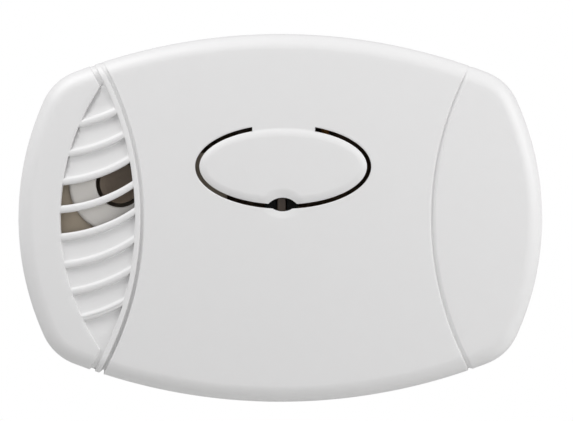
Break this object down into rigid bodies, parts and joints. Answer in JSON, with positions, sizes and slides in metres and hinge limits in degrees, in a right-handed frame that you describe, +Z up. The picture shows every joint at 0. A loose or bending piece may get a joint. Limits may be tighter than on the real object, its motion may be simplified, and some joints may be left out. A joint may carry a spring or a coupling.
{
  "type": "carbon monoxide alarm",
  "caption": "Wall-hung battery carbon monoxide alarm with a wide white cover, vent slats, a flap test button, a battery door and a lift-off bracket.",
  "frame": {"origin": "on the bracket's wall side, in the wall plane, in line with the middle of the front", "axes": "+X to the right across the front, +Y into the wall, +Z up"},
  "size_m": [0.127, 0.0385, 0.0892],
  "materials": {
    "white_plastic": "fine satin moulded plastic, slightly warm white",
    "bracket_plastic": "satin moulded plastic",
    "screw_steel": "zinc-plated steel",
    "contact_steel": "nickel-plated spring steel",
    "board_phenolic": "brown phenolic laminate",
    "black_plastic": "matt black moulding",
    "aluminium_can": "drawn aluminium can",
    "ferrite_coil": "ferrite bobbin wound with lacquered wire",
    "resistor_body": "lacquered resistor body on tinned legs",
    "horn_plastic": "off-white moulded plastic",
    "taupe_plastic": "satin moulded plastic, brown-grey",
    "plug_brown": "dark brown moulded plastic",
    "disc_orange": "lacquered ceramic",
    "piezo_brass": "rolled brass sheet",
    "piezo_layer": "fired ceramic layer",
    "led_lens": "tinted moulded lens",
    "cell_jacket": "printed foil jacket, plain"
  },
  "bodies": {
    "bracket": {"mounting_bracket": "bracket_plastic"},
    "alarm": {"front_cover": "white_plastic", "rear_case": "white_plastic", "case_screw_1": "screw_steel", "case_screw_2": "screw_steel", "case_screw_3": "screw_steel", "case_screw_4": "screw_steel", "circuit_board": "board_phenolic", "board_screw_1": "screw_steel", "board_screw_2": "screw_steel", "controller_chip": "black_plastic", "main_capacitor": "aluminium_can", "horn_coil": "ferrite_coil", "resistor_1": "resistor_body", "resistor_2": "resistor_body", "resistor_3": "resistor_body", "resistor_4": "resistor_body", "gas_sensor": "aluminium_can", "gas_sensor_cap": "black_plastic", "horn_pin_centre": "contact_steel", "horn_pin_rim": "contact_steel", "piezo_disc": "piezo_brass", "piezo_ceramic": "piezo_layer", "horn_resonator": "horn_plastic", "horn_plug": "plug_brown", "horn_baffle": "taupe_plastic", "switch_body": "black_plastic", "status_led": "led_lens", "led_holder": "black_plastic", "film_capacitor": "taupe_plastic", "disc_capacitor": "disc_orange", "battery_bridge_plate": "contact_steel", "battery_plus_plate": "contact_steel", "battery_minus_plate": "contact_steel", "battery_spring_1": "contact_steel", "battery_spring_2": "contact_steel", "battery_cell_1": "cell_jacket", "battery_cell_2": "cell_jacket"},
    "button": {"test_button": "white_plastic"},
    "plunger": {"switch_plunger": "black_plastic"},
    "door": {"battery_door": "white_plastic"}
  },
  "joints": [
    {"name": "alarm_lift", "type": "slide", "parent": "bracket", "child": "alarm", "axis": [0, 0, 1], "range_m": [0, 0.006]},
    {"name": "button_press", "type": "hinge", "parent": "alarm", "child": "button", "pos_m": [0.0007, -0.0369, 0.02125], "axis": [1, 0, 0], "range_deg": [0, 2.5], "stiffness_Nm_per_rad": 0.8},
    {"name": "switch_travel", "type": "slide", "parent": "alarm", "child": "plunger", "axis": [0, 1, 0], "range_m": [0, 0.0005]},
    {"name": "door_swing", "type": "hinge", "parent": "alarm", "child": "door", "pos_m": [0, -0.0044, -0.0349], "axis": [-1, 0, 0], "range_deg": [0, 95]}
  ],
  "couplings": [
    {"joint": "switch_travel", "follows": "button_press", "m_per_rad": 0.01025}
  ]
}
